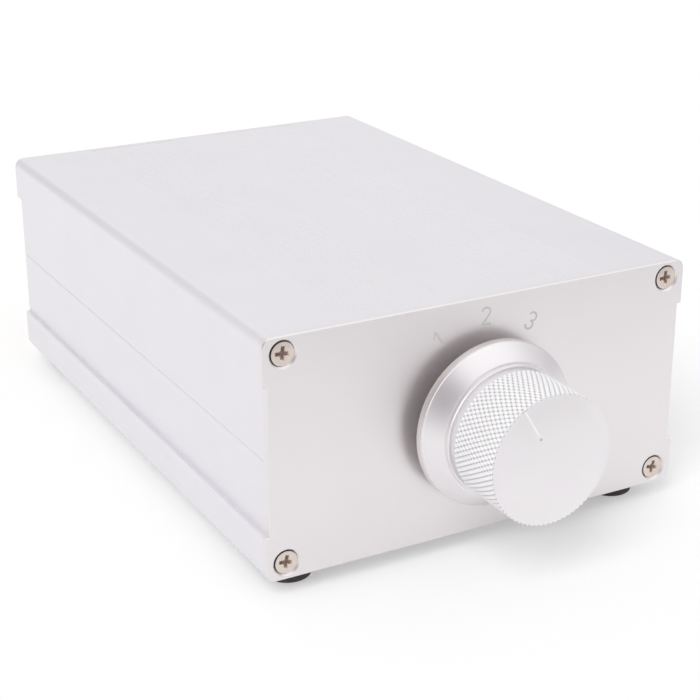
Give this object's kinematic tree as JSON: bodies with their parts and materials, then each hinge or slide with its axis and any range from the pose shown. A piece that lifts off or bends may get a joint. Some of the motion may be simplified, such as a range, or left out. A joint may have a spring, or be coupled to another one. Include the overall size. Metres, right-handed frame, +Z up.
{
  "type": "audio source selector",
  "caption": "Desktop stereo audio source selector: flat aluminium extruded case with a knurled rotary knob on the front, phono sockets on the back, rubber feet",
  "frame": {"origin": "on the table, under the middle of the whole object's bounding box", "axes": "+X to the right as seen from the front, +Y from the knob to the sockets at the back, +Z up"},
  "size_m": [0.106, 0.193, 0.0595],
  "materials": {
    "extrusion": "fine bead-blasted and clear anodised",
    "panel": "fine bead-blasted and clear anodised, engraved numbers",
    "knob": "turned and clear anodised, knurled grip",
    "screw": "nickel-plated",
    "foot_rubber": "matte black",
    "pad_foam": "closed-cell foam tape",
    "blackened_steel": "blackened",
    "nickel_brass": "nickel-plated",
    "shaft_steel": "ground",
    "turned_brass": "turned",
    "switch_black": "moulded, fine grain",
    "switch_phenolic": "pressed laminate",
    "tinned_contact": "tinned",
    "spring_steel": "bright spring steel",
    "rotor_nylon": "natural nylon",
    "spring_contact": "phosphor bronze",
    "ball_steel": "polished",
    "circuit_board": "green solder mask on glass laminate",
    "collar_white": "moulded",
    "collar_red": "moulded",
    "core_white": "moulded",
    "washer_fibre": "pressed fibre",
    "gold_contact": "gold-plated",
    "gold_shell": "gold-plated"
  },
  "bodies": {
    "selector": {"knob": "knob", "knob_set_screw": "blackened_steel", "extension_shaft": "shaft_steel", "shaft_coupler": "turned_brass", "coupler_set_screws": "blackened_steel", "switch_spindle": "shaft_steel", "switch_retaining_clip": "spring_steel", "switch_rotor": "rotor_nylon", "switch_wipers": "spring_contact", "switch_detent_balls": "ball_steel", "switch_detent_springs": "spring_steel"},
    "case": {"board_screws": "screw", "board_standoffs": "turned_brass", "bottom_cover": "extrusion", "bushing_nut": "nickel_brass", "bushing_washer": "nickel_brass", "circuit_board": "circuit_board", "foot_front_left": "foot_rubber", "foot_front_right": "foot_rubber", "foot_pads": "pad_foam", "foot_rear_left": "foot_rubber", "foot_rear_right": "foot_rubber", "front_panel": "panel", "front_panel_screws": "screw", "rear_panel": "panel", "rear_panel_screws": "screw", "shaft_bushing": "nickel_brass", "socket_collars_left": "collar_white", "socket_collars_right": "collar_red", "socket_contacts": "gold_contact", "socket_cores_left": "core_white", "socket_cores_right": "core_white", "socket_ground_lugs": "tinned_contact", "socket_inner_washers": "washer_fibre", "socket_nuts": "nickel_brass", "socket_shell_input_1_left": "gold_shell", "socket_shell_input_1_right": "gold_shell", "socket_shell_input_2_left": "gold_shell", "socket_shell_input_2_right": "gold_shell", "socket_shell_input_3_left": "gold_shell", "socket_shell_input_3_right": "gold_shell", "socket_shell_output_left": "gold_shell", "socket_shell_output_right": "gold_shell", "standoff_screws": "screw", "switch_base": "switch_phenolic", "switch_housing": "switch_black", "switch_nut": "nickel_brass", "switch_stop_washer": "spring_steel", "switch_terminals": "tinned_contact", "top_cover": "extrusion"}
  },
  "joints": [
    {"name": "selector_turn", "type": "hinge", "parent": "case", "child": "selector", "pos_m": [0, -0.0701, 0.032], "axis": [0, 1, 0], "range_deg": [0, 60]}
  ]
}
